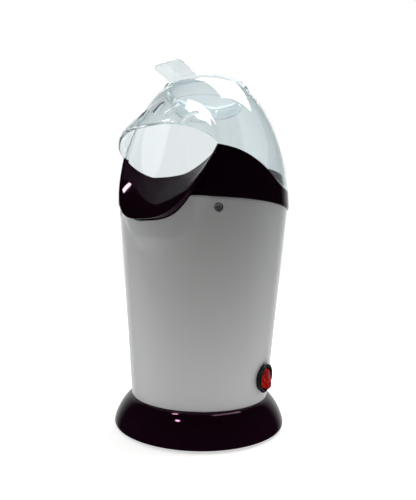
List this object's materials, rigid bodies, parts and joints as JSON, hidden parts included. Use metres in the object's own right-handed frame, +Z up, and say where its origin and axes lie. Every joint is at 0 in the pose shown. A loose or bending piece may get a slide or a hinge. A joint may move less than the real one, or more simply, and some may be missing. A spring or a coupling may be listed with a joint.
{
  "type": "popcorn maker",
  "caption": "Hot-air popcorn maker: tapered body on a flared base, dark collar with a front chute, clear domed cover with a vented hood, and a lift-out measuring cup.",
  "frame": {"origin": "centre of the box around the whole object, on the surface it stands on", "axes": "+Z up, the chute faces -Y, the switch is on the +X side"},
  "size_m": [0.148, 0.155, 0.2898],
  "materials": {
    "white_plastic": "gloss",
    "plum_plastic": "high gloss",
    "clear_plastic": "clear gloss",
    "red_plastic": "translucent gloss",
    "black_plastic": "satin",
    "foot_rubber": "matte",
    "zinc_steel": "plated",
    "spun_aluminium": "spun satin",
    "mica_board": "matte",
    "nichrome_wire": "dull",
    "circuit_board": "satin",
    "fan_plastic": "satin",
    "white_ceramic": "matte",
    "white_wire": "satin",
    "black_wire": "satin"
  },
  "bodies": {
    "root": {"base_plate": "black_plastic", "base_screw_1": "zinc_steel", "base_screw_2": "zinc_steel", "base_screw_3": "zinc_steel", "base_screw_4": "zinc_steel", "base_skirt": "plum_plastic", "chamber_floor": "spun_aluminium", "collar_chute": "plum_plastic", "cord_gland": "black_plastic", "fan_housing": "fan_plastic", "foot_1": "foot_rubber", "foot_2": "foot_rubber", "foot_3": "foot_rubber", "foot_4": "foot_rubber", "heat_shield": "zinc_steel", "heater_support": "mica_board", "heating_coil": "nichrome_wire", "motor_bracket": "zinc_steel", "motor_can": "zinc_steel", "motor_screw_1": "zinc_steel", "motor_screw_2": "zinc_steel", "motor_screw_3": "zinc_steel", "outer_housing": "white_plastic", "popping_chamber": "spun_aluminium", "rectifier_board": "circuit_board", "side_screw_left": "zinc_steel", "side_screw_right": "zinc_steel", "switch_bezel": "black_plastic", "switch_body": "black_plastic", "terminal_block": "white_ceramic", "thermal_fuse": "zinc_steel", "thermostat": "white_ceramic", "wire_heater": "white_wire", "wire_motor": "white_wire", "wire_supply": "black_wire", "wire_switch": "white_wire"},
    "rocker": {"switch_rocker": "red_plastic"},
    "fan": {"impeller": "fan_plastic", "motor_shaft": "zinc_steel"},
    "cover": {"dome_cover": "clear_plastic"},
    "cup": {"measuring_cup": "clear_plastic"}
  },
  "joints": [
    {"name": "fan_spin", "type": "hinge", "parent": "root", "child": "fan", "pos_m": [0, 0.0035, 0.06], "axis": [0, 0, 1], "continuous": true},
    {"name": "switch_rock", "type": "hinge", "parent": "root", "child": "rocker", "pos_m": [0.05958, 0.0035, 0.044], "axis": [0, 1, 0], "range_deg": [0, 14]},
    {"name": "cover_lift", "type": "slide", "parent": "root", "child": "cover", "axis": [0, 0, 1], "range_m": [0, 0.07]},
    {"name": "cup_lift", "type": "slide", "parent": "cover", "child": "cup", "axis": [0, 0, 1], "range_m": [0, 0.045]}
  ]
}
